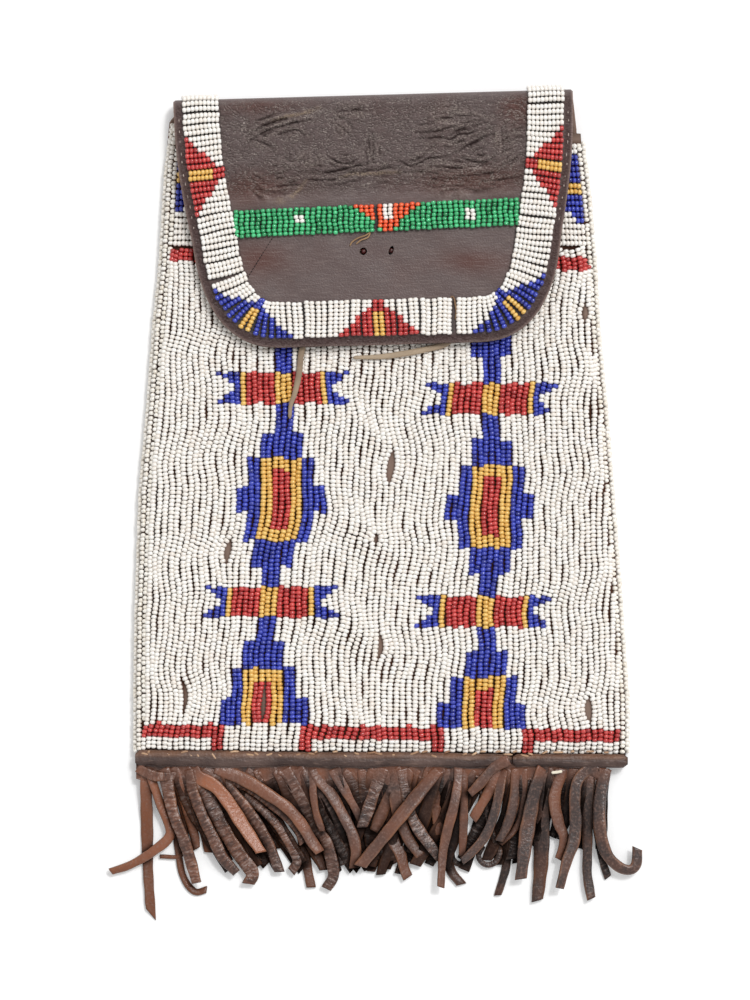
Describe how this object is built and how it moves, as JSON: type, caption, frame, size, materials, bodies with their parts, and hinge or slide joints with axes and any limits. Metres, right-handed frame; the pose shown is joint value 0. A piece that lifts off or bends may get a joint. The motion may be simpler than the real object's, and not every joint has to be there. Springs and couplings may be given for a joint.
{
  "type": "beaded dispatch case",
  "caption": "Flat hide pouch with a beaded front, a tooled leather flap folded over its mouth, loose tie thongs and a leather fringe along its foot.",
  "frame": {"origin": "on the resting face of the back panel, on the middle line of the foot, 116 mm above the foot seam", "axes": "+X to the right of the front, +Y from the fringe towards the flap's fold, +Z out of the front"},
  "size_m": [0.1898, 0.2982, 0.017],
  "materials": {
    "back_leather": "worn brown leather, smooth",
    "front_hide": "bare native-tanned hide, matte",
    "flap_leather": "tooled dark brown leather, rubbed",
    "welt_leather": "dark leather strip, stitched",
    "fringe_leather": "cut leather thongs, worn and curled",
    "tie_leather": "pale limp leather thong",
    "bead_white": "opaque glossy glass seed beads",
    "bead_blue": "opaque glossy glass seed beads",
    "bead_red": "opaque glossy glass seed beads",
    "bead_yellow": "opaque glossy glass seed beads",
    "bead_green": "opaque glossy glass seed beads",
    "bead_orange": "opaque glossy glass seed beads"
  },
  "bodies": {
    "case": {"back_panel": "back_leather", "front_panel": "front_hide", "welt_left": "welt_leather", "welt_right": "welt_leather", "fringe": "fringe_leather", "tie_left": "tie_leather", "tie_right": "tie_leather", "beads_ground": "bead_white", "edging_left": "bead_white", "edging_right": "bead_white", "mouth_lane_left": "bead_white", "mouth_lane_right": "bead_white", "beads_left_upper_bar_fork_left": "bead_blue", "beads_left_upper_bar_fork_right": "bead_blue", "beads_left_lower_bar_fork_left": "bead_blue", "beads_left_lower_bar_fork_right": "bead_blue", "beads_right_upper_bar_fork_left": "bead_blue", "beads_right_upper_bar_fork_right": "bead_blue", "beads_right_lower_bar_fork_left": "bead_blue", "beads_right_lower_bar_fork_right": "bead_blue", "beads_left_top_block": "bead_blue", "beads_left_lozenge_blue": "bead_blue", "beads_left_half_lozenge_blue": "bead_blue", "beads_right_top_block": "bead_blue", "beads_right_lozenge_blue": "bead_blue", "beads_right_half_lozenge_blue": "bead_blue", "beads_left_upper_bar_red_left": "bead_red", "beads_left_upper_bar_red_right": "bead_red", "beads_left_lower_bar_red_left": "bead_red", "beads_left_lower_bar_red_right": "bead_red", "beads_right_upper_bar_red_left": "bead_red", "beads_right_upper_bar_red_right": "bead_red", "beads_right_lower_bar_red_left": "bead_red", "beads_right_lower_bar_red_right": "bead_red", "beads_left_lozenge_red": "bead_red", "beads_left_half_lozenge_red": "bead_red", "beads_right_lozenge_red": "bead_red", "beads_right_half_lozenge_red": "bead_red", "beads_foot_line_left": "bead_red", "beads_foot_line_middle": "bead_red", "beads_foot_line_right": "bead_red", "beads_top_line_left": "bead_red", "beads_top_line_right": "bead_red", "beads_left_upper_bar_middle": "bead_yellow", "beads_left_lower_bar_middle": "bead_yellow", "beads_right_upper_bar_middle": "bead_yellow", "beads_right_lower_bar_middle": "bead_yellow", "beads_left_lozenge_yellow": "bead_yellow", "beads_left_half_lozenge_yellow": "bead_yellow", "beads_right_lozenge_yellow": "bead_yellow", "beads_right_half_lozenge_yellow": "bead_yellow"},
    "flap": {"flap": "flap_leather", "flap_border": "bead_white", "flap_triangle_corner_left": "bead_blue", "flap_triangle_corner_right": "bead_blue", "flap_triangle_side_left": "bead_red", "flap_triangle_side_right": "bead_red", "flap_triangle_foot": "bead_red", "flap_band": "bead_green", "flap_band_wedge": "bead_orange"}
  },
  "joints": [
    {"name": "flap_fold", "type": "hinge", "parent": "case", "child": "flap", "pos_m": [-0.0031, 0.1209, 0.0055], "axis": [-0.9996, -0.0279, 0], "range_deg": [0, 160]}
  ]
}
